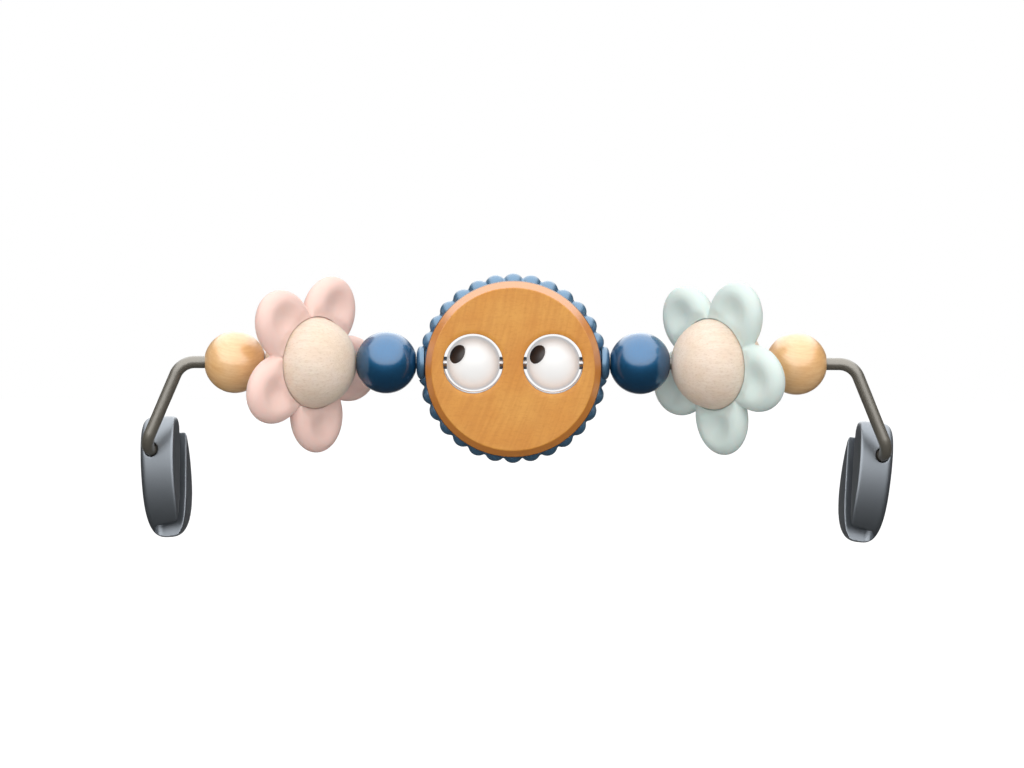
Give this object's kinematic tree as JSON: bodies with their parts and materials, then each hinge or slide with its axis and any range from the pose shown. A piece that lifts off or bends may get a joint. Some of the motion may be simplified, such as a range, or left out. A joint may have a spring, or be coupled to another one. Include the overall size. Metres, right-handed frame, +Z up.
{
  "type": "bouncer toy bar",
  "caption": "Bent wire bar strung with wooden balls, two petal flowers and a wheel with two rolling eyes, held by a slotted clip that swivels on each end.",
  "frame": {"origin": "midway between the slots of the two clips", "axes": "+X along the bar to the right as the picture shows it, +Y away from the viewer, +Z up"},
  "size_m": [0.4284, 0.0773, 0.1536],
  "materials": {
    "wire": "satin taupe paint, bare steel inside the wheel",
    "clip": "satin slate grey",
    "retainer": "bright",
    "birch": "clear lacquered birch",
    "raw_birch": "unfinished birch",
    "disc_wood": "oiled warm brown wood",
    "blue_gloss": "gloss dark blue paint",
    "blue_satin": "satin blue",
    "pink": "matt pale pink",
    "mint": "matt pale mint",
    "eye_white": "gloss white",
    "pupil": "gloss black",
    "dowel": "plain"
  },
  "bodies": {
    "wire": {"carrier_wire": "wire", "left_retainer": "retainer", "right_retainer": "retainer"},
    "left_clip": {"left_clip": "clip"},
    "right_clip": {"right_clip": "clip"},
    "left_end_bead": {"left_end_bead": "birch"},
    "right_end_bead": {"right_end_bead": "birch"},
    "left_blue_bead": {"left_blue_bead": "blue_gloss"},
    "right_blue_bead": {"right_blue_bead": "blue_gloss"},
    "left_flower": {"left_flower_back_dome": "raw_birch", "left_flower_dowel_1": "dowel", "left_flower_dowel_2": "dowel", "left_flower_front_dome": "raw_birch", "left_petals": "pink"},
    "right_flower": {"right_flower_back_dome": "raw_birch", "right_flower_dowel_1": "dowel", "right_flower_dowel_2": "dowel", "right_flower_front_dome": "raw_birch", "right_petals": "mint"},
    "wheel": {"wheel_back_disc": "disc_wood", "wheel_front_disc": "disc_wood", "wheel_knob_ring": "blue_satin", "wheel_left_hub": "blue_satin", "wheel_pin_1": "dowel", "wheel_pin_2": "dowel", "wheel_pin_3": "dowel", "wheel_right_hub": "blue_satin"},
    "left_eye": {"left_eye": "eye_white", "left_pupil": "pupil"},
    "right_eye": {"right_eye": "eye_white", "right_pupil": "pupil"}
  },
  "joints": [
    {"name": "left_clip_swivel", "type": "hinge", "parent": "wire", "child": "left_clip", "pos_m": [-0.20731, -0.00948, 0.01721], "axis": [0.3196, 0.9281, -0.1908], "continuous": true},
    {"name": "right_clip_swivel", "type": "hinge", "parent": "wire", "child": "right_clip", "pos_m": [0.20817, -0.00952, 0.01512], "axis": [-0.3196, 0.9281, -0.1908], "continuous": true},
    {"name": "left_end_bead_spin", "type": "hinge", "parent": "wire", "child": "left_end_bead", "pos_m": [-0.15884, -0.0178, 0.06722], "axis": [1, 0, 0], "continuous": true},
    {"name": "left_flower_spin", "type": "hinge", "parent": "wire", "child": "left_flower", "pos_m": [-0.11613, -0.0178, 0.06722], "axis": [1, 0, 0], "continuous": true},
    {"name": "left_blue_bead_spin", "type": "hinge", "parent": "wire", "child": "left_blue_bead", "pos_m": [-0.07342, -0.0178, 0.06722], "axis": [1, 0, 0], "continuous": true},
    {"name": "wheel_spin", "type": "hinge", "parent": "wire", "child": "wheel", "pos_m": [-0.00178, -0.0178, 0.06722], "axis": [1, 0, 0], "continuous": true},
    {"name": "left_eye_spin", "type": "hinge", "parent": "wire", "child": "left_eye", "pos_m": [-0.02428, -0.0178, 0.06722], "axis": [1, 0, 0], "continuous": true},
    {"name": "right_eye_spin", "type": "hinge", "parent": "wire", "child": "right_eye", "pos_m": [0.02072, -0.0178, 0.06722], "axis": [1, 0, 0], "continuous": true},
    {"name": "right_blue_bead_spin", "type": "hinge", "parent": "wire", "child": "right_blue_bead", "pos_m": [0.06986, -0.0178, 0.06722], "axis": [1, 0, 0], "continuous": true},
    {"name": "right_flower_spin", "type": "hinge", "parent": "wire", "child": "right_flower", "pos_m": [0.11329, -0.0178, 0.06722], "axis": [1, 0, 0], "continuous": true},
    {"name": "right_end_bead_spin", "type": "hinge", "parent": "wire", "child": "right_end_bead", "pos_m": [0.15817, -0.0178, 0.06722], "axis": [1, 0, 0], "continuous": true}
  ]
}
